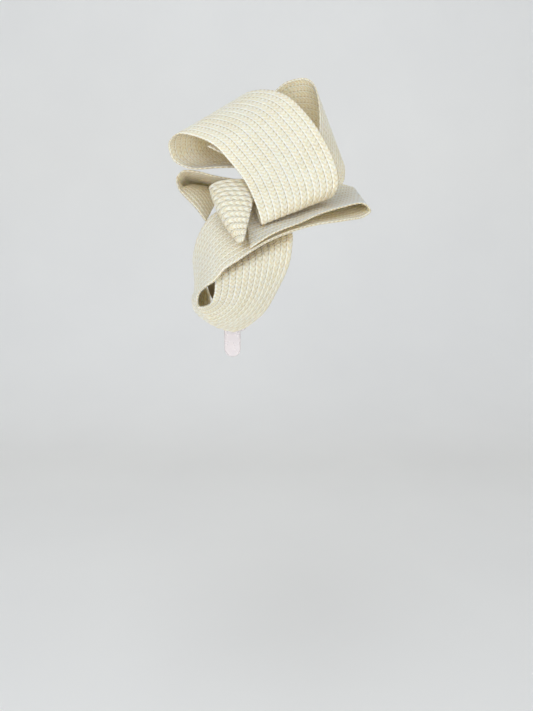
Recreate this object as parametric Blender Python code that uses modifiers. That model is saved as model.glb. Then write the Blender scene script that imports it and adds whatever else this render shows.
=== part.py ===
"""Fascinator headpiece: folded loops of braided ribbon on a padded-edge base and a clear headband.

+X is the wearer's forward, +Y the wearer's left, +Z up; metres.
The origin is the underside of the headband at the crown of the head.
The loops stand on the wearer's right side (-Y).
"""
import math

import bmesh
import bpy
from mathutils import Vector

MM = 0.001
GAP = 0.35                # clearance between neighbouring pieces, mm

# Braided ribbon
BRAID_WIDTH = 75.0        # twelve rows of 6.25 mm
BRAID_THICKNESS = 1.5
ACROSS_CELLS = 8          # faces across the ribbon
LENGTH_STEP = 6.0         # longest face along the ribbon

# Headband: a flat strip bent to an arch over the crown
BAND_WIDTH = 12.0
BAND_THICKNESS = 2.0
BAND_RISE = 83.0          # crown above the widest part of the head, to mid thickness
BAND_HALF_SPAN = 71.8     # half distance between the arms, to mid thickness
BAND_ARM = 43.0           # straight arm below the widest part
BAND_TIP_HALF_SPAN = 69.8
CROWN_FLAT = 5.0          # half length of the flat at the crown
HEAD_CENTRE_Z = BAND_THICKNESS / 2 - BAND_RISE

# Base: an oval that lies over the band on the wearer's right side
BASE_RISE = 87.1
BASE_HALF_SPAN = 75.9
BASE_CENTRE_X = 5.0
BASE_HALF_WIDTH = 21.0
BASE_TAPER = 5.5          # wider low down, narrower towards the crown
BASE_MID_ANGLE = math.radians(23.5)
BASE_HALF_ANGLE = math.radians(30)
HEAD_CENTRE_X = 15.0
HEAD_ROUNDING = 110.0     # how fast the base drops off ahead of and behind the ear line
SHELL_THICKNESS = 1.5
LINING_THICKNESS = 0.6
COVER_THICKNESS = 0.5
BINDING_THICKNESS = 0.5
EDGE_WIRE_RADIUS = 0.6
THREAD_RADIUS = 0.3

# Each station of a ribbon: its near edge, the direction across to the far edge, and the bow
# of the middle out of the straight line between them, all in millimetres.
CREST = [
    ((2, -56, 14), (34, 66, 10), 0),         # start, under the crest
    ((-13, -53, 14), (39, 63, 12), 0),
    ((-32, -49, 14), (42, 60, 14), 0),
    ((-44, -48, 20), (42, 59, 17), 0),       # rolls over at the back
    ((-47, -48, 28), (41, 61, 15), 0),
    ((-46, -49, 34), (45, 51, 31), 0),
    ((-40, -51, 38), (45, 47, 37), 0),
    ((-28, -55, 36), (47, 41, 42), 0),       # broad top
    ((-12, -63, 28), (51, 34, 43), 0),
    ((0, -72, 15), (54, 32, 41), 0),
    ((11, -84, 0), (57, 34, 34), 0),
    ((18, -95, -15), (60, 38, 26), 0),
    ((21, -100, -24), (57, 43, 23), 0),      # turns under at the front
    ((22, -98, -29), (52, 49, 22), 0),
    ((20, -91, -25), (50, 50, 25), 0),
    ((18, -83, -18), (51, 46, 31), 0),
    ((19, -68, -7), (50, 40, 39), 0),        # runs back up inside
    ((15, -55, 10), (43, 39, 47), 0),
    ((1, -57, 19), (45, 41, 44), 0),
    ((-18, -52, 29), (47, 40, 43), 0),
]
PEAK = [
    ((34, 12, 27), (8, 61, -43), 0),         # start, behind the crest
    ((25, 8, 48), (8, 61, -43), 0),
    ((24, 0, 69), (10, 61, -42), 0),
    ((39, -8, 84), (14, 67, -30), 0),
    ((49, -10, 87), (16, 63, -37), 0),       # the peak
    ((56, -12, 87), (21, 59, -42), 0),
    ((62, -14, 83), (26, 55, -44), 0),
    ((65, -16, 75), (29, 51, -47), 0),
    ((67, -18, 62), (28, 55, -42), 0),
    ((67, -20, 47), (27, 61, -33), 0),
    ((65, -21, 26), (21, 69, -19), 0),
    ((60, -22, 9), (11, 74, -4), 0),         # end, down behind the crest
]
SCROLL = [
    ((13, -57, 3), (0, 74, 10), 0),          # start, upper layer
    ((-13, -51, 8), (-6, 75, 1), 0),
    ((-29, -48, 12), (-6, 75, -3), 0),
    ((-38, -46, 12), (-4, 75, -2), 0),       # small roll at the back
    ((-42, -46, 7), (-2, 75, -1), 0),
    ((-41, -47, 1), (0, 75, 1), -2),
    ((-38, -49, -4), (4, 73, 10), -5),
    ((-33, -53, -9), (9, 71, 16), -4),        # opens out as it comes down the side
    ((-27, -58, -15), (11, 70, 20), -2),
    ((-22, -62, -21), (8, 69, 26), 0),
    ((-19, -62, -25), (6, 69, 27), 0),       # end, behind the swirl
]
SWIRL = [
    ((-11, -111, -58), (54, 42, 28), 0),     # start, behind the front layer
    ((-7, -133, -65), (51, 50, 24), 0),
    ((-7, -137, -72), (48, 55, 15), 0),
    ((-9, -141, -78), (43, 62, 4), -2),      # turns tightly round the small opening
    ((-12, -143, -80), (34, 66, -13), -2),
    ((-16, -145, -80), (16, 69, -25), -3),
    ((-17, -145, -77), (3, 73, -14), -7),
    ((-16, -143, -72), (-1, 75, -5), -7),
    ((-12, -140, -68), (-16, 72, 10), -2),
    ((-6, -139, -64), (-20, 68, 22), 0),
    ((-1, -135, -58), (-20, 66, 28), 0),
    ((8, -128, -52), (-20, 63, 32), 0),
    ((25, -114, -41), (-4, 66, 36), 4),      # lower layer, across the side
    ((41, -102, -34), (-4, 67, 33), 5),
    ((58, -91, -29), (-6, 69, 30), 5),
    ((82, -78, -25), (-10, 70, 25), 3),
    ((96, -69, -22), (-1, 71, 23), 0),
    ((101, -66, -18), (-2, 71, 23), 0),      # folds back at the front
    ((96, -66, -13), (-1, 72, 20), -2),
    ((79, -74, -16), (4, 71, 24), -5),
    ((61, -87, -22), (-4, 70, 28), -6),      # upper layer, back to the centre
    ((48, -97, -28), (-4, 68, 31), -6),
    ((31, -109, -35), (-4, 66, 36), -5),
    ((15, -122, -45), (-6, 63, 41), -2),
]
KNOT = [
    ((19, -66, 3), (-8, -61, -44), -1),      # raw end
    ((11, -68, 4), (-1, -60, -45), -2),
    ((-1, -68, 4), (10, -59, -46), -3),
    ((-11, -67, 2), (20, -59, -45), -4),
    ((-16, -63, -1), (25, -61, -43), -3),
    ((-14, -60, -5), (25, -63, -40), -1),    # turned in at the back
]

MATERIALS = {
    # name: (colour, roughness, metallic)
    "ivory_braid": ((0.86, 0.82, 0.71, 1.0), 0.6, 0.0),
    "clear_band": ((0.85, 0.82, 0.80, 1.0), 0.15, 0.0),
    "stiffened_net": ((0.78, 0.74, 0.64, 1.0), 0.85, 0.0),
    "satin_cover": ((0.85, 0.80, 0.70, 1.0), 0.45, 0.0),
    "felt_lining": ((0.80, 0.76, 0.68, 1.0), 0.95, 0.0),
    "edge_binding": ((0.84, 0.79, 0.68, 1.0), 0.55, 0.0),
    "edge_wire": ((0.62, 0.61, 0.58, 1.0), 0.35, 1.0),
    "sewing_thread": ((0.84, 0.80, 0.70, 1.0), 0.6, 0.0),
}


def clear_scene():
    for obj in list(bpy.data.objects):
        bpy.data.objects.remove(obj, do_unlink=True)
    home = bpy.data.collections.new("fascinator")
    bpy.context.scene.collection.children.link(home)
    return home


def make_materials():
    made = {}
    for name, (colour, roughness, metallic) in MATERIALS.items():
        mat = bpy.data.materials.new(name)
        mat.use_nodes = True
        shader = mat.node_tree.nodes["Principled BSDF"]
        shader.inputs["Base Color"].default_value = colour
        shader.inputs["Roughness"].default_value = roughness
        shader.inputs["Metallic"].default_value = metallic
        mat.diffuse_color = colour
        made[name] = mat
    return made


def grid_object(name, rows, material, home, closed=False):
    """A sheet whose faces join neighbouring rows of points; closed joins the last row to the first."""
    across = len(rows[0])
    grid = bmesh.new()
    bmesh.ops.create_grid(grid, x_segments=across - 1, y_segments=len(rows) - 1, size=1.0)
    grid.verts.ensure_lookup_table()
    ordered = sorted(grid.verts, key=lambda v: (round(v.co.y, 5), round(v.co.x, 5)))
    for vert, point in zip(ordered, (p for row in rows for p in row)):
        vert.co = point * MM
    if closed:
        bmesh.ops.remove_doubles(grid, verts=grid.verts, dist=0.01 * MM)
    mesh = bpy.data.meshes.new(name)
    grid.to_mesh(mesh)
    grid.free()
    return add_object(name, mesh, material, home)


def add_object(name, data, material, home):
    data.materials.append(material)
    obj = bpy.data.objects.new(name, data)
    home.objects.link(obj)
    return obj


def thicken(obj, thickness):
    solidify = obj.modifiers.new("thickness", "SOLIDIFY")
    solidify.thickness = thickness * MM
    solidify.offset = 0.0


def thread_curve(name, path, radius, material, home, cyclic):
    curve = bpy.data.curves.new(name, "CURVE")
    curve.dimensions = "3D"
    curve.bevel_depth = radius * MM
    curve.bevel_resolution = 1
    curve.use_fill_caps = not cyclic
    spline = curve.splines.new("POLY")
    spline.points.add(len(path) - 1)
    for point, co in zip(spline.points, path):
        point.co = (*(co * MM), 1.0)
    spline.use_cyclic_u = cyclic
    return add_object(name, curve, material, home)


# ---------------------------------------------------------------- ribbon

class Ribbon:
    """A ribbon of constant width whose stations are joined by a smooth curve."""

    def __init__(self, stations):
        self.near = [Vector(s[0]) for s in stations]
        self.across = [Vector(s[1]).normalized() * BRAID_WIDTH for s in stations]
        self.bow = [s[2] for s in stations]
        self.keys = [0.0]
        for i in range(1, len(stations)):
            step = (self.near[i] - self.near[i - 1]).length
            step += 0.35 * (self.across[i] - self.across[i - 1]).length
            self.keys.append(self.keys[-1] + step ** 0.5)

    def slope(self, values, i):
        keys = self.keys
        last = len(values) - 1
        if i == 0:
            return (values[1] - values[0]) / (keys[1] - keys[0])
        if i == last:
            return (values[i] - values[i - 1]) / (keys[i] - keys[i - 1])
        before = (values[i] - values[i - 1]) / (keys[i] - keys[i - 1])
        after = (values[i + 1] - values[i]) / (keys[i + 1] - keys[i])
        chord = (values[i + 1] - values[i - 1]) / (keys[i + 1] - keys[i - 1])
        return before - chord + after

    def blend(self, values, i, t):
        """Cubic Hermite blend inside span i."""
        h = self.keys[i + 1] - self.keys[i]
        return (values[i] * (2 * t**3 - 3 * t**2 + 1)
                + self.slope(values, i) * (h * (t**3 - 2 * t**2 + t))
                + values[i + 1] * (3 * t**2 - 2 * t**3)
                + self.slope(values, i + 1) * (h * (t**3 - t**2)))

    def middle(self, i, t):
        return self.blend(self.near, i, t) + 0.5 * self.blend(self.across, i, t)

    def frame(self, i, t):
        """Near point, across vector, unit normal and bow at a place inside span i."""
        near = self.blend(self.near, i, t)
        across = self.blend(self.across, i, t).normalized() * BRAID_WIDTH
        low = max(0.0, t - 0.02)
        high = min(1.0, t + 0.02)
        along = self.middle(i, high) - self.middle(i, low)
        return near, across, across.cross(along).normalized(), self.blend(self.bow, i, t)

    def point(self, i, t, s, lift=0.0):
        """The point a fraction s across the ribbon, lifted off its middle surface."""
        near, across, normal, bow = self.frame(i, t)
        return near + across * s + normal * (bow * 4 * s * (1 - s) + lift)

    def rows(self):
        places = []
        for i in range(len(self.near) - 1):
            near_run = (self.near[i + 1] - self.near[i]).length
            far_run = (self.near[i + 1] + self.across[i + 1] - self.near[i] - self.across[i]).length
            count = max(2, math.ceil(max(near_run, far_run) / LENGTH_STEP))
            places += [(i, j / count) for j in range(count)]
        places.append((len(self.near) - 2, 1.0))
        return [[self.point(i, t, s / ACROSS_CELLS) for s in range(ACROSS_CELLS + 1)]
                for i, t in places]


def make_ribbon(name, ribbon, mats, home):
    obj = grid_object(name, ribbon.rows(), mats["ivory_braid"], home)
    thicken(obj, BRAID_THICKNESS)
    for polygon in obj.data.polygons:
        polygon.use_smooth = True


def make_stitch(name, ribbon, span, s, side, mats, home):
    """A tacking thread that lies on a hidden face of a ribbon, along one span of it."""
    lift = side * (BRAID_THICKNESS / 2 + 2 * GAP + THREAD_RADIUS)
    path = [ribbon.point(span, k / 6, s, lift) for k in range(7)]
    thread_curve(name, path, THREAD_RADIUS, mats["sewing_thread"], home, cyclic=False)


# ---------------------------------------------------------------- headband

def band_line():
    """Middle line of the band in the plane of the ears, from the right tip to the left tip."""
    half = [(0.0, BAND_THICKNESS / 2), (CROWN_FLAT, BAND_THICKNESS / 2)]
    for degrees in range(84, -1, -4):
        angle = math.radians(degrees)
        half.append((BAND_HALF_SPAN * math.cos(angle), HEAD_CENTRE_Z + BAND_RISE * math.sin(angle)))
    tip_round = BAND_WIDTH / 2
    lean = (BAND_TIP_HALF_SPAN - BAND_HALF_SPAN) / BAND_ARM
    drops = [12.0, 24.0, BAND_ARM - tip_round]
    drops += [BAND_ARM - tip_round * (1 - math.sin(math.radians(a))) for a in (20, 40, 60, 80)]
    half += [(BAND_HALF_SPAN + lean * d, HEAD_CENTRE_Z - d) for d in drops]
    left = [Vector((0.0, y, z)) for y, z in half]
    right = [Vector((0.0, -y, z)) for y, z in reversed(half[1:])]
    return right + left


def band_half_width(point):
    """Full width, rounded off over the last few millimetres of each arm."""
    tip_round = BAND_WIDTH / 2
    into_tip = (HEAD_CENTRE_Z - BAND_ARM + tip_round) - point.z
    if into_tip <= 0:
        return tip_round
    return math.sqrt(max(tip_round**2 - into_tip**2, 0.0))


def make_headband(mats, home):
    rows = []
    for point in band_line():
        half = band_half_width(point)
        rows.append([point + Vector((half * side, 0, 0)) for side in (-1.0, 0.0, 1.0)])
    obj = grid_object("headband", rows, mats["clear_band"], home)
    thicken(obj, BAND_THICKNESS)
    bevel = obj.modifiers.new("rounded edges", "BEVEL")
    bevel.width = 0.5 * MM
    bevel.segments = 1
    bevel.limit_method = "ANGLE"
    bevel.angle_limit = math.radians(50)


# ---------------------------------------------------------------- base

def base_surface(p, q):
    """A place on the middle of the base shell; p runs forward, q from the cheek to the crown."""
    angle = BASE_MID_ANGLE + BASE_HALF_ANGLE * q
    x = BASE_CENTRE_X + p * (BASE_HALF_WIDTH - BASE_TAPER * q)
    edge_x = BAND_WIDTH / 2 + HEAD_CENTRE_X
    fall = math.sqrt(1 - ((x - HEAD_CENTRE_X) / HEAD_ROUNDING) ** 2)
    fall /= math.sqrt(1 - (edge_x / HEAD_ROUNDING) ** 2)
    return Vector((x, -BASE_HALF_SPAN * fall * math.cos(angle),
                   HEAD_CENTRE_Z + BASE_RISE * fall * math.sin(angle)))


def base_normal(p, q):
    step = 0.01
    forward = base_surface(p + step, q) - base_surface(p - step, q)
    upward = base_surface(p, q + step) - base_surface(p, q - step)
    return forward.cross(upward).normalized()


def disc_rows(cells):
    """A square grid of places pressed into a round disc."""
    rows = []
    for j in range(cells + 1):
        v = 2 * j / cells - 1
        row = []
        for i in range(cells + 1):
            u = 2 * i / cells - 1
            row.append((u * math.sqrt(1 - v * v / 2), v * math.sqrt(1 - u * u / 2)))
        rows.append(row)
    return rows


def make_base_layer(name, lift, thickness, material, mats, home):
    rows = [[base_surface(p, q) + base_normal(p, q) * lift for p, q in row] for row in disc_rows(14)]
    obj = grid_object(name, rows, mats[material], home)
    thicken(obj, thickness)


def edge_frame(turn):
    """A place on the oval's edge, with its outward direction along the base and its normal."""
    def place(a):
        return base_surface(math.cos(a), math.sin(a))
    normal = base_normal(math.cos(turn), math.sin(turn))
    along = place(turn + 0.01) - place(turn - 0.01)
    return place(turn), along.cross(normal).normalized(), normal


def make_base(mats, home):
    lining_lift = -(SHELL_THICKNESS + LINING_THICKNESS) / 2 - GAP
    cover_lift = (SHELL_THICKNESS + COVER_THICKNESS) / 2 + GAP
    make_base_layer("base_shell", 0.0, SHELL_THICKNESS, "stiffened_net", mats, home)
    make_base_layer("base_lining", lining_lift, LINING_THICKNESS, "felt_lining", mats, home)
    make_base_layer("base_cover", cover_lift, COVER_THICKNESS, "satin_cover", mats, home)
    turns = [math.tau * k / 56 for k in range(56)]
    make_edge_wire(turns, mats, home)
    make_binding(turns + [math.tau], mats, home)


def make_edge_wire(turns, mats, home):
    stand_off = GAP + 0.1 + EDGE_WIRE_RADIUS
    path = []
    for turn in turns:
        place, outward, _ = edge_frame(turn)
        path.append(place + outward * stand_off)
    thread_curve("base_edge_wire", path, EDGE_WIRE_RADIUS, mats["edge_wire"], home, cyclic=True)


def make_binding(turns, mats, home):
    """A folded strip that wraps the edge of lining, shell and cover."""
    reach = SHELL_THICKNESS / 2 + LINING_THICKNESS + 2 * GAP + BINDING_THICKNESS / 2 + 0.1
    profile = [(-4.0, -reach), (-2.0, -reach), (0.0, -reach)]
    profile += [(reach * math.cos(a), reach * math.sin(a))
                for a in (-math.radians(45), 0.0, math.radians(45))]
    profile += [(0.0, reach), (-2.0, reach), (-4.0, reach)]
    rows = []
    for turn in turns:
        place, outward, normal = edge_frame(turn)
        rows.append([place + outward * e + normal * n for e, n in profile])
    obj = grid_object("base_edge_binding", rows, mats["edge_binding"], home, closed=True)
    thicken(obj, BINDING_THICKNESS)


def make_band_stitches(mats, home):
    """Loops of thread round the band, between it and the lining of the base."""
    half_width = BAND_WIDTH / 2 + GAP + THREAD_RADIUS
    half_depth = BAND_THICKNESS / 2 + GAP + THREAD_RADIUS
    corners = [(-1, -0.6), (-1, 0.6), (-0.93, 1), (0.93, 1), (1, 0.6), (1, -0.6),
               (0.93, -1), (-0.93, -1)]
    for number, degrees in enumerate((4, 12, 20, 28, 36), 1):
        angle = math.radians(degrees)
        place = Vector((0.0, -BAND_HALF_SPAN * math.cos(angle),
                        HEAD_CENTRE_Z + BAND_RISE * math.sin(angle)))
        outward = Vector((0.0, -math.cos(angle) / BAND_HALF_SPAN,
                          math.sin(angle) / BAND_RISE)).normalized()
        loop = [place + Vector((half_width * a, 0, 0)) + outward * (half_depth * b)
                for a, b in corners]
        thread_curve(f"band_stitch_{number}", loop, THREAD_RADIUS, mats["sewing_thread"], home,
                     cyclic=True)


# ---------------------------------------------------------------- whole

def build():
    home = clear_scene()
    mats = make_materials()
    make_headband(mats, home)
    make_base(mats, home)
    make_band_stitches(mats, home)
    crest = Ribbon(CREST)
    peak = Ribbon(PEAK)
    scroll = Ribbon(SCROLL)
    swirl = Ribbon(SWIRL)
    knot = Ribbon(KNOT)
    make_ribbon("crest_loop", crest, mats, home)
    make_ribbon("peak_loop", peak, mats, home)
    make_ribbon("scroll_loop", scroll, mats, home)
    make_ribbon("swirl_loop", swirl, mats, home)
    make_ribbon("centre_knot", knot, mats, home)
    make_stitch("crest_stitch", crest, 1, 0.5, 1, mats, home)
    make_stitch("peak_stitch", peak, 10, 0.5, 1, mats, home)
    make_stitch("scroll_stitch", scroll, 8, 0.5, 1, mats, home)
    make_stitch("swirl_stitch", swirl, 12, 0.75, 1, mats, home)
    make_stitch("knot_stitch", knot, 1, 0.3, 1, mats, home)


build()
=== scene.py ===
# %% [markdown]
# # A fascinator of folded braid
# The headpiece is five lengths of the same ivory straw braid, rolled and folded into loops and sewn
# to a small oval base that sits on a clear plastic headband. The packed CAD model gives every piece
# its place. This script rebuilds the soft pieces finely and gives each surface its finish.

# %% Load the frame
import math

import bmesh
import bpy
import numpy as np
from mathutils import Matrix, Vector


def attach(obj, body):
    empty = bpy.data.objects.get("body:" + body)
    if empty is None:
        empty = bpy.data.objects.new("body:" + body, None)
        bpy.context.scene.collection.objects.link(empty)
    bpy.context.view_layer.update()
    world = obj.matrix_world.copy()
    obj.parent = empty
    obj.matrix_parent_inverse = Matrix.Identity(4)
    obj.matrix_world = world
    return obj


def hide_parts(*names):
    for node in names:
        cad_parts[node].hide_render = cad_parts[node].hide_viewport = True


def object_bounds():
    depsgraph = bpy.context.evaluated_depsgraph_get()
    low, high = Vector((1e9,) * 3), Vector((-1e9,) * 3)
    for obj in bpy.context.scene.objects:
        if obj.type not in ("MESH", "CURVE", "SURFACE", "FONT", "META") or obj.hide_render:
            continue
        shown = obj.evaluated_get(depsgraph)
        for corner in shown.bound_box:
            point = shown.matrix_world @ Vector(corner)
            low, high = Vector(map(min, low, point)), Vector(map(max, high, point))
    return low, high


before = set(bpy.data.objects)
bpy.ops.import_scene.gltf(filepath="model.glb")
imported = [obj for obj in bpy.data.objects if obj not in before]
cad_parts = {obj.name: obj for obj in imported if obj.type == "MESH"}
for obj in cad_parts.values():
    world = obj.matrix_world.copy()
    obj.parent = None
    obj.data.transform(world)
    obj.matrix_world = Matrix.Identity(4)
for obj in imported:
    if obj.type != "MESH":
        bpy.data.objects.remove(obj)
cad_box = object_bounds()
MM = 0.001
print("nodes:", len(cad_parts), "CAD box:", cad_box)

# %% [markdown]
# ## The stage and the camera
# A pale sheet of card that curves up behind the object has no corner to catch a shadow, which is
# how small goods are usually shown. It could be two planes, but their edge would show as a line.
# One plane with its back edge extruded upwards and bevelled gives the curve. It stands well below
# the object, because the headpiece is shown at the height where a head would hold it.

# %% Backdrop
FLOOR_DROP = 0.26                             # how far the floor lies below the object
WALL_Y = 0.95                                 # how far behind it the wall stands
WALL_HEIGHT = 1.9
WALL_CURVE = 0.55                             # radius between floor and wall
FLOOR_STRETCH = 1.8                           # the floor is this much wider than it is deep


def nothing_selected():
    bpy.ops.object.select_all(action="DESELECT")
    bpy.context.view_layer.objects.active = None


def select_edges(mesh, test):
    """In edit mode, select only the edges whose two ends both pass the test."""
    bpy.ops.mesh.select_mode(type="EDGE")
    bpy.ops.mesh.select_all(action="DESELECT")
    bm = bmesh.from_edit_mesh(mesh)
    for edge in bm.edges:
        if all(test(v.co) for v in edge.verts):
            edge.select_set(True)
    bmesh.update_edit_mesh(mesh)


nothing_selected()
floor_z = cad_box[0][2] - FLOOR_DROP
bpy.ops.mesh.primitive_plane_add(size=2 * WALL_Y, location=(0, 0, floor_z))
backdrop = bpy.context.object
backdrop.name = "backdrop"
backdrop.scale = (FLOOR_STRETCH, 1.0, 1.0)
bpy.ops.object.transform_apply(location=True, rotation=True, scale=True)
bpy.ops.object.mode_set(mode="EDIT")
select_edges(backdrop.data, lambda co: co.y > WALL_Y - MM)
bpy.ops.mesh.extrude_region_move(TRANSFORM_OT_translate={"value": (0, 0, WALL_HEIGHT)})
select_edges(backdrop.data, lambda co: co.y > WALL_Y - MM and co.z < floor_z + MM)
bpy.ops.mesh.bevel(offset=WALL_CURVE, segments=16)
bpy.ops.object.mode_set(mode="OBJECT")
bpy.ops.object.shade_smooth()
print("backdrop faces:", len(backdrop.data.polygons))

# %% [markdown]
# The camera stands level with the ear, on the wearer's right, and looks slightly down.

# %% Camera
CAMERA_PLACE = (0.0255, -0.500, -0.046)
LOOK_DOWN = 10.3                              # degrees below level
camera_data = bpy.data.cameras.new("camera")
camera_data.lens = 29.37
camera = bpy.data.objects.new("camera", camera_data)
bpy.context.scene.collection.objects.link(camera)
camera.location = CAMERA_PLACE
camera.rotation_euler = (math.radians(90 - LOOK_DOWN), 0, 0)
bpy.context.scene.camera = camera
print("camera at", CAMERA_PLACE, "looking", LOOK_DOWN, "degrees down")

# %% [markdown]
# The light is that of a bright room: pale and slightly cool from all round, with two large soft
# sources beside the camera, one high and one low, and a smaller one above. The insides of the
# loops are lit mostly through and off their own braid, which turns them warm.

# %% Light
DAYLIGHT = (0.92, 1.0, 1.15)
ROOM_STRENGTH = 0.54
LIT_PLACE = (0.02, -0.05, 0.0)


def soft_light(name, place, size, watts):
    data = bpy.data.lights.new(name, "AREA")
    data.shape = "DISK"
    data.size = size
    data.energy = watts
    data.color = [c / max(DAYLIGHT) for c in DAYLIGHT]
    light = bpy.data.objects.new(name, data)
    light.location = place
    light.rotation_euler = (Vector(LIT_PLACE) - Vector(place)).to_track_quat("-Z", "Y").to_euler()
    bpy.context.scene.collection.objects.link(light)


soft_light("key", (-0.45, -1.15, 0.30), size=0.9, watts=6.5)
soft_light("low", (0.25, -1.10, -0.35), size=0.8, watts=10.0)
soft_light("top", (-0.1, -0.15, 1.3), size=0.7, watts=2.0)
world = bpy.data.worlds.new("room")
world.use_nodes = True
background = world.node_tree.nodes["Background"].inputs
background["Color"].default_value = (*DAYLIGHT, 1)
background["Strength"].default_value = ROOM_STRENGTH
bpy.context.scene.world = world
bpy.context.scene.view_settings.view_transform = "Standard"

# %% [markdown]
# ## Writing materials as sums
# A pattern such as a plait is easier to read as a sum than as a drawing of node links. A small
# class wraps one output and turns `+`, `*` and the rest into Math nodes. Everything else is added
# by one method that takes a node's type, its settings and the values or links of its sockets.

# %% Numbers that vary over a surface
class Value:
    """One number that varies over the surface; arithmetic on it adds Math nodes."""

    def __init__(self, shader, socket):
        self.shader = shader
        self.socket = socket

    def math(self, operation, *others):
        sockets = dict(enumerate((self, *others)))
        return self.shader.add("ShaderNodeMath", {"operation": operation}, sockets)

    def __add__(self, other): return self.math("ADD", other)
    def __radd__(self, other): return self.math("ADD", other)
    def __sub__(self, other): return self.math("SUBTRACT", other)
    def __rsub__(self, other): return (self * -1.0) + other
    def __mul__(self, other): return self.math("MULTIPLY", other)
    def __rmul__(self, other): return self.math("MULTIPLY", other)
    def __truediv__(self, other): return self.math("DIVIDE", other)
    def __abs__(self): return self.math("ABSOLUTE")

    def fract(self): return self.math("FRACT")
    def floor(self): return self.math("FLOOR")
    def clamp(self): return self.math("MAXIMUM", 0.0).math("MINIMUM", 1.0)

    def wave(self):
        """A triangle wave: 0 at whole numbers, 1 half way between them."""
        return 1.0 - abs(self.fract() * 2.0 - 1.0)

    def hill(self, centre, width):
        """1 at the centre, falling to 0 at half a width either side."""
        return (1.0 - abs(self - centre) / (width / 2)).clamp()


print("Value does:", ", ".join(name for name in vars(Value) if not name.startswith("_")))

# %% [markdown]
# A material under construction keeps its tree in one place. Its `add` sets up every node, and the
# short methods after it name the few kinds of node that this object's finishes use.

# %% Materials under construction
class Shader:
    """A material under construction."""

    def __init__(self, name):
        self.material = bpy.data.materials.new(name)
        self.material.use_nodes = True
        self.tree = self.material.node_tree
        self.surface = self.tree.nodes["Principled BSDF"]

    def add(self, kind, settings, sockets, output=0):
        """Add a node, set it up, join its sockets and return one of its outputs."""
        node = self.tree.nodes.new(kind)
        for name, value in settings.items():
            if name == "stops":
                self.set_stops(node.color_ramp.elements, value)
            else:
                setattr(node, name, value)
        for name, value in sockets.items():
            self.join(value, node.inputs[name])
        return Value(self, node.outputs[output])

    def join(self, value, socket):
        if isinstance(value, Value):
            self.tree.links.new(value.socket, socket)
        else:
            socket.default_value = value

    def set_stops(self, elements, stops):
        while len(elements) < len(stops):
            elements.new(0.5)
        for element, (place, colour) in zip(elements, stops):
            element.position = place
            element.color = (*colour, 1.0)

    def ramp(self, factor, *stops):
        return self.add("ShaderNodeValToRGB", {"stops": stops}, {"Fac": factor})

    def mix(self, factor, first, second):
        colours = [c if isinstance(c, Value) else (*c, 1.0) for c in (first, second)]
        return self.add("ShaderNodeMix", {"data_type": "RGBA"},
                        {"Factor": factor, 6: colours[0], 7: colours[1]}, output=2)

    def noise(self, vector, scale, detail):
        return self.add("ShaderNodeTexNoise", {},
                        {"Vector": vector, "Scale": scale, "Detail": detail})

    def bump(self, height, distance, strength):
        return self.add("ShaderNodeBump", {},
                        {"Height": height, "Distance": distance, "Strength": strength})

    def split(self, vector):
        """The three parts of a vector."""
        first = self.add("ShaderNodeSeparateXYZ", {}, {0: vector})
        return [Value(self, output) for output in first.socket.node.outputs]

    def object_place(self):
        return self.add("ShaderNodeTexCoord", {}, {}, output="Object")

    def cloth_place(self):
        """The cloth's UV map, and the distances across and along it, in metres."""
        uv = self.add("ShaderNodeUVMap", {"uv_map": "UVMap"}, {})
        across, along, _ = self.split(uv)
        return uv, across, along

    def set(self, **sockets):
        """Give the surface its values or links, and return the material."""
        for name, value in sockets.items():
            self.join(value, self.surface.inputs[name.replace("_", " ")])
        return self.material


print("Shader does:", ", ".join(name for name in vars(Shader) if not name.startswith("_")))

# %% [markdown]
# ## Card
# The backdrop is uncoated card: nearly even, with a faint mottle and no shine.

# %% Backdrop material
def card_material():
    shader = Shader("pale_card")
    place = shader.object_place()
    mottle = shader.noise(place, 6.0, 3.0)
    colour = shader.mix(mottle, (0.90, 0.855, 0.77), (0.95, 0.905, 0.81))
    grain = shader.noise(place, 900.0, 2.0)
    return shader.set(Base_Color=colour, Roughness=0.95, Specular_IOR_Level=0.1,
                      Normal=shader.bump(grain, 0.1 * MM, 0.4))


backdrop.data.materials.append(card_material())
print("backdrop material:", backdrop.data.materials[0].name)

# %% [markdown]
# ## Straw braid
# Hat braid is plaited in narrow tapes, and twelve tapes are sewn edge over edge into a ribbon
# 75 mm wide. Each tape's upper edge is a raised cord, its plaits leave small pits beside that
# cord, and its flat part shows chevrons of strands. The cords and the pits are large enough to
# cast shadows, so they are in the mesh. The strands are a fraction of a millimetre deep, so a
# bump pattern that follows the ribbon's own UV map gives them.

# %% Braid sizes
WIDTH_IN_MM = 75.0
BRAID_WIDTH = WIDTH_IN_MM * MM
ROWS = 12
ROW = BRAID_WIDTH / ROWS
PIT_PITCH = 3.5 * MM                          # from one pit to the next along a tape
SHEET_HALF = 0.42 * MM                        # half thickness of the plain sheet
CORD = 0.09                                   # place of the cord across one tape
ACROSS_ROW = np.array([0.0, CORD, 0.18, 0.30, 0.52, 0.80])   # places across one tape
PLAIN_HEIGHT = np.array([-0.28, 0.50, 0.02, 0.10, 0.26, 0.14]) * MM     # height at each of them
PIT_HEIGHT = np.array([-0.30, 0.46, -0.30, -0.28, -0.06, 0.10]) * MM    # the same at a pit
ROW_STAGGER = 0.37                            # how far each tape's pits lead its neighbour's
PIT_STEEPNESS = 2.6                           # the higher, the shorter a pit
STEPS_PER_PIT = 4
print(f"one tape is {ROW / MM:.2f} mm wide")
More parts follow.
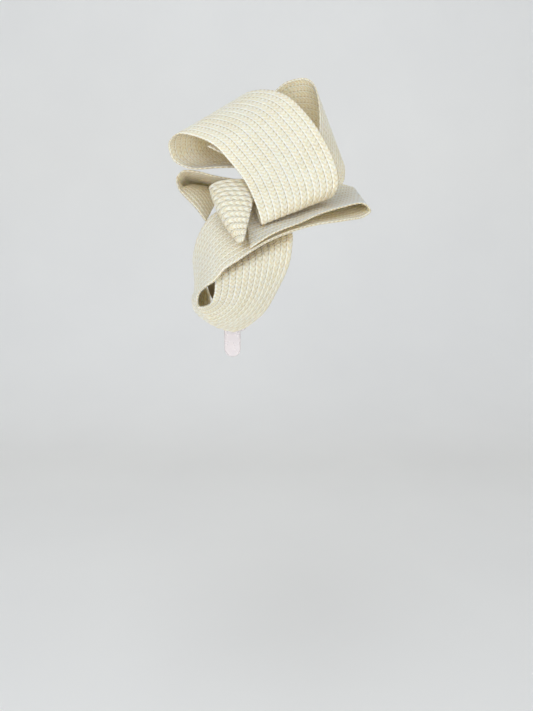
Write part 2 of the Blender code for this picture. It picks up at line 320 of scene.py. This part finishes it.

# %% [markdown]
# The colour follows the same map: the cord is painted paler, a painted highlight on the raised
# edge, the pits and the seam beside the cord are painted darker, painted shade in these hollows
# that runs to ochre, and the chevrons between alternate between the two sides of the straw. Straw
# lets some light through, so the material has a little subsurface scattering, which is what makes
# the folds glow from inside.

# %% Braid material
def braid_material():
    shader = Shader("ivory_straw_braid")
    uv, across, along = shader.cloth_place()
    row = across / ROW
    place = row.fract()
    number = row.floor()
    pits = (along / PIT_PITCH + number * ROW_STAGGER).wave()      # 0 at a pit, 1 between pits
    cord = place.hill(CORD, 0.20)
    seam = place.hill(0.0, 0.10).math("MAXIMUM", place.hill(0.97, 0.22))
    twist = (along / (PIT_PITCH / 3) + place * 3.0).wave()
    chevron = (along / PIT_PITCH + number * ROW_STAGGER + abs(place - 0.62) * 1.5 + 0.1).wave()
    field = 1.0 - cord
    pit = place.hill(0.28, 0.46) * (1.1 - pits * 1.6).clamp()
    fibres = shader.noise(uv, 1500.0, 3.0)
    patches = shader.noise(uv, 70.0, 2.0)
    height = (cord * twist * 0.35 + field * chevron * 0.40 + fibres * 0.15
              - pit * 0.5 - seam * 0.3)
    # Painted light: the cord term is a painted highlight on the raised cord, and the pit and seam
    # terms are painted shade in the hollows beside it.
    shade = (0.56 + (chevron - 0.5) * field * 0.56 + cord * (0.40 + twist * 0.15)
             + (fibres - 0.5) * 0.9 + (patches - 0.5) * 0.35 - pit * 0.30 - seam * 0.45).clamp()
    # The dark ochre stops of this ramp are reached mainly by that painted shade.
    colour = shader.ramp(shade, (0.0, (0.56, 0.40, 0.18)), (0.30, (0.84, 0.68, 0.42)),
                         (0.62, (0.94, 0.82, 0.59)), (1.0, (0.98, 0.91, 0.74)))
    return shader.set(Base_Color=colour, Roughness=0.60 - shade * 0.18,
                      Normal=shader.bump(height, 0.8 * MM, 0.9),
                      Subsurface_Weight=0.40, Subsurface_Scale=3 * MM,
                      Subsurface_Radius=(1.0, 0.80, 0.50),
                      Sheen_Weight=0.1, Sheen_Roughness=0.4, Specular_IOR_Level=0.4)


braid = braid_material()
print("braid nodes:", len(braid.node_tree.nodes))

# %% [markdown]
# A stiff ribbon keeps its width and bends only one way at a time, so a straight line across it
# stays nearly straight. A loop is therefore drawn with a few stations: the near edge, the
# direction across to the far edge, and a slight bow. A smooth curve through them gives the rest.
# A cloth simulation would let the loops sag, and stiffened braid does not sag, so the shape is
# built directly. These stations are the CAD model's own, in millimetres.

# %% Ribbon curve
TURN_WEIGHT = 0.35                            # how much a twist counts against a move
TABLE_POINTS = 6000                           # for measuring lengths along the middle
KEY_STEP = 0.01                               # for finding the direction along the ribbon


def to_width(across):
    """The same directions, each as long as the braid is wide."""
    return across * (WIDTH_IN_MM / np.linalg.norm(across, axis=1, keepdims=True))


class Ribbon:
    """A ribbon of constant width through a list of stations."""

    def __init__(self, stations):
        near = np.array([s[0] for s in stations], float)
        across = to_width(np.array([s[1] for s in stations], float))
        bow = np.array([[s[2]] for s in stations], float)
        steps = np.linalg.norm(np.diff(near, axis=0), axis=1)
        steps += TURN_WEIGHT * np.linalg.norm(np.diff(across, axis=0), axis=1)
        self.keys = np.concatenate([[0.0], np.cumsum(np.sqrt(steps))])
        self.values = np.hstack([near, across, bow])
        self.slopes = self.find_slopes()
        self.table_keys = np.linspace(0, self.keys[-1], TABLE_POINTS)
        table = self.blend(self.table_keys)
        middle = table[:, :3] + table[:, 3:6] / 2
        run = np.linalg.norm(np.diff(middle, axis=0), axis=1)
        self.table_lengths = np.concatenate([[0.0], np.cumsum(run)])
        self.length = self.table_lengths[-1]

    def find_slopes(self):
        """How fast every value changes at each station, so that the curve has no corner there."""
        keys, values = self.keys, self.values
        step = np.diff(keys)[:, None]
        chord = np.diff(values, axis=0) / step
        slopes = np.empty_like(values)
        slopes[0] = chord[0]
        slopes[-1] = chord[-1]
        wide = (values[2:] - values[:-2]) / (keys[2:] - keys[:-2])[:, None]
        slopes[1:-1] = chord[:-1] - wide + chord[1:]
        return slopes

    def blend(self, at):
        """Near edge, direction across and bow at any keys, by a cubic between stations."""
        span = np.clip(np.searchsorted(self.keys, at, side="right") - 1, 0, len(self.keys) - 2)
        h = self.keys[span + 1] - self.keys[span]
        t = ((at - self.keys[span]) / h)[:, None]
        h = h[:, None]
        values, slopes = self.values, self.slopes
        out = (values[span] * (2 * t**3 - 3 * t**2 + 1) + slopes[span] * h * (t**3 - 2 * t**2 + t)
               + values[span + 1] * (3 * t**2 - 2 * t**3) + slopes[span + 1] * h * (t**3 - t**2))
        out[:, 3:6] = to_width(out[:, 3:6])
        return out

    def surface(self, lengths, shares):
        """Points and unit normals of the middle surface, in metres."""
        at = np.interp(lengths, self.table_lengths, self.table_keys)
        rows = self.blend(at)
        ahead = self.blend(np.clip(at + KEY_STEP, 0, self.keys[-1]))
        behind = self.blend(np.clip(at - KEY_STEP, 0, self.keys[-1]))
        near, across, bow = rows[:, :3], rows[:, 3:6], rows[:, 6]
        along = (ahead[:, :3] + ahead[:, 3:6] / 2) - (behind[:, :3] + behind[:, 3:6] / 2)
        side = np.cross(across, along)
        side /= np.linalg.norm(side, axis=1, keepdims=True)
        arch = bow[:, None] * (4 * shares * (1 - shares))[None, :]
        points = (near[:, None] + across[:, None] * shares[None, :, None]
                  + side[:, None] * arch[..., None])
        down = np.gradient(points, axis=0)
        over = np.gradient(points, shares, axis=1)
        normals = np.cross(over, down)
        normals /= np.linalg.norm(normals, axis=2, keepdims=True)
        return points * MM, normals


flat_strip = Ribbon([((x, 0, 0), (0, 1, 0), 0) for x in (0, 40, 100)])
print(f"a flat test strip of 100 mm measures {flat_strip.length:.2f} mm")

# %% [markdown]
# Both faces of a ribbon have a relief: at every point across a tape the height lies between a
# plain stretch of plait and a pit.

# %% Relief of the braid
def relief(shares, lengths):
    """Height of the braid over its plain sheet; shares run over 0..1, lengths in pits."""
    rows = shares * ROWS
    number = np.floor(rows + 1e-6)
    place = rows - number
    stretched = np.append(ACROSS_ROW, 1.0)
    plain = np.interp(place, stretched, np.append(PLAIN_HEIGHT, PLAIN_HEIGHT[0]))
    pit = np.interp(place, stretched, np.append(PIT_HEIGHT, PIT_HEIGHT[0]))
    turn = (lengths[:, None] + number[None, :] * ROW_STAGGER) % 1.0
    depth = np.clip(1.0 - PIT_STEEPNESS * np.minimum(turn, 1.0 - turn), 0.0, 1.0)
    return plain[None, :] * (1 - depth) + pit[None, :] * depth


one_row = relief(np.linspace(0, 1 / ROWS, 50), np.linspace(0, 1, 9))
print(f"relief from {one_row.min() / MM:.2f} to {one_row.max() / MM:.2f} mm")

# %% [markdown]
# All sheets here start as a primitive grid. Its UV map runs from 0 to 1 both ways, and is
# stretched to the cloth's real size, so that the patterns keep their scale on every piece.

# %% Grids
def add_grid(name, points_across, points_along):
    nothing_selected()
    bpy.ops.mesh.primitive_grid_add(x_subdivisions=points_across - 1,
                                    y_subdivisions=points_along - 1, size=1.0, calc_uvs=True)
    grid = bpy.context.object
    grid.name = name
    return grid


def stretch_uv(piece, change):
    """Pass the UV map's places through change, which returns them in metres of cloth."""
    layer = piece.data.uv_layers[0]
    places = np.empty(len(layer.data) * 2)
    layer.data.foreach_get("uv", places)
    layer.data.foreach_set("uv", change(places.reshape(-1, 2)).ravel())


def thicken(piece, thickness):
    solidify = piece.modifiers.new("thickness", "SOLIDIFY")
    solidify.thickness = thickness
    solidify.offset = 0.0
    bpy.ops.object.modifier_apply(modifier="thickness")


print("a ribbon's grid has", len(ACROSS_ROW) * ROWS + 1, "points across")

# %% [markdown]
# Each ribbon's grid gets its thickness from Solidify, which also closes its edges. Then both
# faces are laid on the curve with their relief. The same heights go on the back, counted from
# the other edge, because a sewn tape shows its other edge there.

# %% Make one ribbon
def make_ribbon(name, stations, node):
    ribbon = Ribbon(stations)
    pits = max(4, round(ribbon.length * MM / PIT_PITCH))
    count_along = pits * STEPS_PER_PIT
    shares = np.append((np.arange(ROWS)[:, None] + ACROSS_ROW[None, :]).ravel() / ROWS, 1.0)
    strip = add_grid(name, len(shares), count_along + 1)

    def braid_uv(places):
        even = np.linspace(0, 1, len(shares))
        across = np.interp(places[:, 0], even, shares) * BRAID_WIDTH
        return np.stack([across, places[:, 1] * pits * PIT_PITCH], axis=1)

    stretch_uv(strip, braid_uv)
    thicken(strip, 2 * SHEET_HALF)
    lengths = np.linspace(0, ribbon.length, count_along + 1)
    points, normals = ribbon.surface(lengths, shares)
    in_pits = np.arange(count_along + 1) / STEPS_PER_PIT
    front = relief(shares, in_pits)
    back = relief(1.0 - shares, in_pits)
    over = points + normals * (SHEET_HALF + front)[..., None]
    under = points - normals * (SHEET_HALF + back)[..., None]
    places = np.vstack([under.reshape(-1, 3), over.reshape(-1, 3)])
    strip.data.vertices.foreach_set("co", places.ravel())
    strip.data.update()
    strip.data.materials.append(braid)
    bpy.ops.object.shade_smooth()
    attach(strip, "root")
    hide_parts(node)
    triangles = sum(len(p.vertices) - 2 for p in strip.data.polygons)
    print(f"{name}: {ribbon.length:.0f} mm long, {pits} pits a row, {triangles} triangles")

# %% [markdown]
# ## The crest
# The largest loop starts flat under the others, rolls over at the back, runs down the front
# as one broad face and turns under. Its end goes back up inside, close beneath the top, which
# keeps the face stiff.

# %% The crest
CREST = [
    ((2, -56, 14), (34, 66, 10), 0),         # start, under the crest
    ((-13, -53, 14), (39, 63, 12), 0),
    ((-32, -49, 14), (42, 60, 14), 0),
    ((-44, -48, 20), (42, 59, 17), 0),       # rolls over at the back
    ((-47, -48, 28), (41, 61, 15), 0),
    ((-46, -49, 34), (45, 51, 31), 0),
    ((-40, -51, 38), (45, 47, 37), 0),
    ((-28, -55, 36), (47, 41, 42), 0),       # broad top
    ((-12, -63, 28), (51, 34, 43), 0),
    ((0, -72, 15), (54, 32, 41), 0),
    ((11, -84, 0), (57, 34, 34), 0),
    ((18, -95, -15), (60, 38, 26), 0),
    ((21, -100, -24), (57, 43, 23), 0),      # turns under at the front
    ((22, -98, -29), (52, 49, 22), 0),
    ((20, -91, -25), (50, 50, 25), 0),
    ((18, -83, -18), (51, 46, 31), 0),
    ((19, -68, -7), (50, 40, 39), 0),        # runs back up inside
    ((15, -55, 10), (43, 39, 47), 0),
    ((1, -57, 19), (45, 41, 44), 0),
    ((-18, -52, 29), (47, 40, 43), 0),
]
make_ribbon("crest_ribbon", CREST, "crest_loop")

# %% [markdown]
# ## The peak
# Behind the crest stands a second loop, turned away so that its mouth shows only as a point.

# %% The peak
PEAK = [
    ((34, 12, 27), (8, 61, -43), 0),         # start, behind the crest
    ((25, 8, 48), (8, 61, -43), 0),
    ((24, 0, 69), (10, 61, -42), 0),
    ((39, -8, 84), (14, 67, -30), 0),
    ((49, -10, 87), (16, 63, -37), 0),       # the peak
    ((56, -12, 87), (21, 59, -42), 0),
    ((62, -14, 83), (26, 55, -44), 0),
    ((65, -16, 75), (29, 51, -47), 0),
    ((67, -18, 62), (28, 55, -42), 0),
    ((67, -20, 47), (27, 61, -33), 0),
    ((65, -21, 26), (21, 69, -19), 0),
    ((60, -22, 9), (11, 74, -4), 0),         # end, down behind the crest
]
make_ribbon("peak_ribbon", PEAK, "peak_loop")

# %% [markdown]
# ## The scroll
# A short length is rolled back on itself under the crest, with its small round fold at the back.

# %% The scroll
SCROLL = [
    ((13, -57, 3), (0, 74, 10), 0),          # start, upper layer
    ((-13, -51, 8), (-6, 75, 1), 0),
    ((-29, -48, 12), (-6, 75, -3), 0),
    ((-38, -46, 12), (-4, 75, -2), 0),       # small roll at the back
    ((-42, -46, 7), (-2, 75, -1), 0),
    ((-41, -47, 1), (0, 75, 1), -2),
    ((-38, -49, -4), (4, 73, 10), -5),
    ((-33, -53, -9), (9, 71, 16), -4),       # opens out as it comes down the side
    ((-27, -58, -15), (11, 70, 20), -2),
    ((-22, -62, -21), (8, 69, 26), 0),
    ((-19, -62, -25), (6, 69, 27), 0),       # end, behind the swirl
]
make_ribbon("scroll_ribbon", SCROLL, "scroll_loop")

# %% [markdown]
# ## The swirl
# The longest ribbon winds once round a small opening at the side of the head, runs forward as
# the lower layer, folds back at the front and returns to the centre as the upper layer.

# %% The swirl
SWIRL = [
    ((-11, -111, -58), (54, 42, 28), 0),     # start, behind the front layer
    ((-7, -133, -65), (51, 50, 24), 0),
    ((-7, -137, -72), (48, 55, 15), 0),
    ((-9, -141, -78), (43, 62, 4), -2),      # turns tightly round the small opening
    ((-12, -143, -80), (34, 66, -13), -2),
    ((-16, -145, -80), (16, 69, -25), -3),
    ((-17, -145, -77), (3, 73, -14), -7),
    ((-16, -143, -72), (-1, 75, -5), -7),
    ((-12, -140, -68), (-16, 72, 10), -2),
    ((-6, -139, -64), (-20, 68, 22), 0),
    ((-1, -135, -58), (-20, 66, 28), 0),
    ((8, -128, -52), (-20, 63, 32), 0),
    ((25, -114, -41), (-4, 66, 36), 4),      # lower layer, across the side
    ((41, -102, -34), (-4, 67, 33), 5),
    ((58, -91, -29), (-6, 69, 30), 5),
    ((82, -78, -25), (-10, 70, 25), 3),
    ((96, -69, -22), (-1, 71, 23), 0),
    ((101, -66, -18), (-2, 71, 23), 0),      # folds back at the front
    ((96, -66, -13), (-1, 72, 20), -2),
    ((79, -74, -16), (4, 71, 24), -5),
    ((61, -87, -22), (-4, 70, 28), -6),      # upper layer, back to the centre
    ((48, -97, -28), (-4, 68, 31), -6),
    ((31, -109, -35), (-4, 66, 36), -5),
    ((15, -122, -45), (-6, 63, 41), -2),
]
make_ribbon("swirl_ribbon", SWIRL, "swirl_loop")

# %% [markdown]
# ## The centre knot
# The last length hides the joins. It is rolled to a cone with its point down, its raw end to the
# front, and its inner edge turned in at the back.

# %% The centre knot
KNOT = [
    ((19, -66, 3), (-8, -61, -44), -1),      # raw end
    ((11, -68, 4), (-1, -60, -45), -2),
    ((-1, -68, 4), (10, -59, -46), -3),
    ((-11, -67, 2), (20, -59, -45), -4),
    ((-16, -63, -1), (25, -61, -43), -3),
    ((-14, -60, -5), (25, -63, -40), -1),    # turned in at the back
]
make_ribbon("knot_ribbon", KNOT, "centre_knot")

# %% [markdown]
# ## The base under the loops
# The base is a small oval of stiffened net, covered with satin, lined with felt and bound at its
# edge with a folded tape over a wire. Only its rear edge shows, through the small opening of the
# swirl, but a copy seen from below shows its lining. Net and wire keep their CAD shape. The soft
# layers are laid again as finer discs on the same curved surface.

# %% Base surface
BAND_WIDTH = 12.0                             # all sizes here in mm, as in the CAD model
HEAD_CENTRE_Z = -82.0
HEAD_CENTRE_X = 15.0
HEAD_ROUNDING = 110.0                         # half length of the head that the base follows
BASE_RISE = 87.1                              # from the head's centre up to the net's middle
BASE_HALF_SPAN = 75.9                         # the same towards the ear
BASE_CENTRE_X = 5.0
BASE_HALF_WIDTH = 21.0
BASE_TAPER = 5.5                              # how much narrower each side gets at the crown
BASE_MID_ANGLE = math.radians(23.5)
BASE_HALF_ANGLE = math.radians(30)
SURFACE_STEP = 0.01                           # for finding directions on the surface


def base_surface(p, q):
    """Places on the middle of the net, in mm; p runs forward, q from the cheek to the crown."""
    angle = BASE_MID_ANGLE + BASE_HALF_ANGLE * q
    x = BASE_CENTRE_X + p * (BASE_HALF_WIDTH - BASE_TAPER * q)
    edge_x = BAND_WIDTH / 2 + HEAD_CENTRE_X
    fall = np.sqrt(1 - ((x - HEAD_CENTRE_X) / HEAD_ROUNDING) ** 2)
    fall /= math.sqrt(1 - (edge_x / HEAD_ROUNDING) ** 2)
    return np.stack([x, -BASE_HALF_SPAN * fall * np.cos(angle),
                     HEAD_CENTRE_Z + BASE_RISE * fall * np.sin(angle)], axis=-1)


def base_normal(p, q):
    forward = base_surface(p + SURFACE_STEP, q) - base_surface(p - SURFACE_STEP, q)
    upward = base_surface(p, q + SURFACE_STEP) - base_surface(p, q - SURFACE_STEP)
    normal = np.cross(forward, upward)
    return normal / np.linalg.norm(normal, axis=-1, keepdims=True)


print("base surface centre:", base_surface(np.array(0.0), np.array(0.0)).round(1))

# %% [markdown]
# Cloth can be woven in the material alone when its threads are too fine to be told apart: the
# weave is two crossed waves, and felt is only noise. Both read the piece's own UV map in metres.

# %% Cloth materials
def weave_material(name, dark, light, pitch, depth, roughness, sheen):
    shader = Shader(name)
    uv, across, along = shader.cloth_place()
    warp = (across / pitch).wave()
    weft = (along / pitch).wave()
    over = ((across / pitch).floor() + (along / pitch).floor()).math("MODULO", 2.0)
    thread = warp * (1.0 - over) + weft * over
    slubs = shader.noise(uv, 260.0, 3.0)
    shade = (thread * 0.6 + slubs * 0.5).clamp()
    return shader.set(Base_Color=shader.ramp(shade, (0.0, dark), (1.0, light)),
                      Roughness=roughness - shade * 0.1,
                      Normal=shader.bump(thread + slubs * 0.4, depth, 0.7),
                      Sheen_Weight=sheen, Sheen_Roughness=0.4)


def felt_material():
    shader = Shader("felt_lining_fine")
    uv, _, _ = shader.cloth_place()
    hairs = shader.noise(uv, 2200.0, 4.0)
    clumps = shader.noise(uv, 180.0, 3.0)
    shade = (hairs * 0.5 + clumps * 0.5).clamp()
    colour = shader.ramp(shade, (0.2, (0.56, 0.50, 0.41)), (0.8, (0.80, 0.75, 0.66)))
    return shader.set(Base_Color=colour,
                      Roughness=0.95 - shade * 0.05, Sheen_Weight=0.4,
                      Normal=shader.bump(hairs + clumps, 0.3 * MM, 0.8))


satin = weave_material("satin_cover_fine", (0.66, 0.58, 0.42), (0.86, 0.79, 0.63),
                       pitch=0.25 * MM, depth=0.05 * MM, roughness=0.5, sheen=0.5)
tape = weave_material("edge_binding_fine", (0.60, 0.50, 0.33), (0.84, 0.74, 0.54),
                      pitch=0.35 * MM, depth=0.10 * MM, roughness=0.7, sheen=0.2)
felt = felt_material()
print("cloth materials:", satin.name, tape.name, felt.name)

# %% [markdown]
# A disc with even cells comes from a square grid pressed round, so it has no crowded pole. Each
# layer is that grid laid at its own height over the net and thickened.

# %% Base layers
CREASE = math.radians(50)                     # edges sharper than this stay sharp
DISC_CELLS = 48


def grid_sheet(name, rows, thickness, cloth, flat, closed=False):
    """A sheet through rows of points in mm; flat is its real size, for the UV map."""
    piece = add_grid(name, rows.shape[1], rows.shape[0])
    piece.data.vertices.foreach_set("co", (rows * MM).ravel())
    stretch_uv(piece, lambda places: places * flat)
    if closed:
        bpy.ops.object.mode_set(mode="EDIT")
        bpy.ops.mesh.select_all(action="SELECT")
        bpy.ops.mesh.remove_doubles(threshold=0.01 * MM)
        bpy.ops.object.mode_set(mode="OBJECT")
    thicken(piece, thickness * MM)
    bpy.ops.object.shade_smooth_by_angle(angle=CREASE)
    piece.data.materials.append(cloth)
    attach(piece, "root")
    return piece


def disc_places(cells):
    """A square grid pressed round."""
    u, v = np.meshgrid(np.linspace(-1, 1, cells + 1), np.linspace(-1, 1, cells + 1))
    return u * np.sqrt(1 - v * v / 2), v * np.sqrt(1 - u * u / 2)


def make_layer(name, node, lift, thickness, cloth):
    p, q = disc_places(DISC_CELLS)
    rows = base_surface(p, q) + base_normal(p, q) * lift
    width = 2 * BASE_HALF_WIDTH * MM
    length = 2 * BASE_HALF_ANGLE * 0.5 * (BASE_RISE + BASE_HALF_SPAN) * MM     # mean radius
    layer = grid_sheet(name, rows, thickness, cloth, (width, length))
    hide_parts(node)
    print(f"{name}: {width / MM:.0f} x {length / MM:.0f} mm oval")


make_layer("satin_cover", "base_cover", lift=1.35, thickness=0.5, cloth=satin)
make_layer("felt_lining", "base_lining", lift=-1.40, thickness=0.6, cloth=felt)

# %% [markdown]
# The binding is one long strip, folded over the edge. Its section is a U that follows the rim.

# %% Binding
BINDING_REACH = 2.4                           # from the rim to the middle of the tape, in mm
BINDING_LEG = 4                               # how far the tape reaches in over each face
BINDING_STATIONS = 161                        # round the rim, with the first one again at the end


def edge_places(turns):
    """Places on the oval's rim, with the outward direction and the normal at each."""
    def place(a):
        return base_surface(np.cos(a), np.sin(a))
    normal = base_normal(np.cos(turns), np.sin(turns))
    along = place(turns + SURFACE_STEP) - place(turns - SURFACE_STEP)
    outward = np.cross(along, normal)
    return place(turns), outward / np.linalg.norm(outward, axis=-1, keepdims=True), normal


def make_binding():
    bend = np.radians(np.arange(-90, 91, 15))
    leg = np.arange(1.0, BINDING_LEG + 1)
    out = np.concatenate([-leg[::-1], BINDING_REACH * np.cos(bend), -leg])
    up = BINDING_REACH * np.concatenate([-np.ones(BINDING_LEG), np.sin(bend), np.ones(BINDING_LEG)])
    places, outward, normal = edge_places(np.linspace(0, math.tau, BINDING_STATIONS))
    rows = (places[:, None] + outward[:, None] * out[None, :, None]
            + normal[:, None] * up[None, :, None])
    width = (2 * BINDING_LEG + math.pi * BINDING_REACH) * MM
    length = np.linalg.norm(np.diff(places, axis=0), axis=1).sum() * MM
    strip = grid_sheet("binding_strip", rows, 0.5, tape, (width, length), closed=True)
    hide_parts("base_edge_binding")
    print(f"binding: {width / MM:.0f} x {length / MM:.0f} mm")


make_binding()

# %% [markdown]
# ## Finishes for the plain CAD pieces
# The band's shape is right as it is, so it keeps it and only gets its finish: clear plastic with a
# fine frost, tinted with a painted pink that stands for the head seen through it. Net, wire and
# thread are hidden, and get small patterns of their own.

# %% Band, net, wire and thread
def band_material():
    shader = Shader("clear_band_fine")
    place = shader.object_place()
    haze = shader.noise(place, 25.0, 2.0)
    scuffs = shader.noise(place, 160.0, 2.0)
    # The pink is a painted see-through colour: the clear band is tinted with the colour of the head
    # behind it.
    colour = shader.mix(haze, (0.72, 0.62, 0.56), (0.80, 0.71, 0.65))
    return shader.set(Base_Color=colour, Roughness=0.20 + scuffs * 0.15, IOR=1.46,
                      Transmission_Weight=0.25, Specular_IOR_Level=0.6,
                      Normal=shader.bump(scuffs, 0.02 * MM, 0.2))


NET_PITCH = 0.8 * MM


def net_material():
    shader = Shader("stiffened_net_fine")
    place = shader.object_place()
    across, _, up = shader.split(place)
    mesh = (across / NET_PITCH).wave().math("MAXIMUM", (up / NET_PITCH).wave())
    size = shader.noise(place, 300.0, 3.0)
    shade = (mesh * 0.7 + size * 0.4).clamp()
    colour = shader.ramp(shade, (0.2, (0.45, 0.39, 0.29)), (0.9, (0.80, 0.75, 0.62)))
    return shader.set(Base_Color=colour,
                      Roughness=0.9 - shade * 0.2, Normal=shader.bump(mesh, 0.2 * MM, 0.8))


def wire_material():
    shader = Shader("edge_wire_fine")
    place = shader.object_place()
    drawn = shader.noise(place, 1200.0, 3.0)
    colour = shader.mix(drawn, (0.50, 0.49, 0.46), (0.68, 0.67, 0.64))
    return shader.set(Base_Color=colour, Metallic=1.0, Roughness=0.25 + drawn * 0.2,
                      Normal=shader.bump(drawn, 0.02 * MM, 0.5))


def thread_material():
    shader = Shader("sewing_thread_fine")
    place = shader.object_place()
    ply = shader.noise(place, 2600.0, 2.0)
    colour = shader.mix(ply, (0.66, 0.58, 0.42), (0.90, 0.85, 0.72))
    return shader.set(Base_Color=colour, Roughness=0.55 + ply * 0.2, Sheen_Weight=0.3,
                      Normal=shader.bump(ply, 0.1 * MM, 0.7))


FINISHES = {"headband": band_material(), "base_shell": net_material(),
            "base_edge_wire": wire_material()}
thread = thread_material()
for name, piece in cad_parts.items():
    finish = thread if "stitch" in name else FINISHES.get(name)
    if finish:
        for holder in piece.material_slots:
            holder.material = finish
print("finished CAD pieces:", len(FINISHES) + sum("stitch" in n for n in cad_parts))

# %% [markdown]
# ## Finish
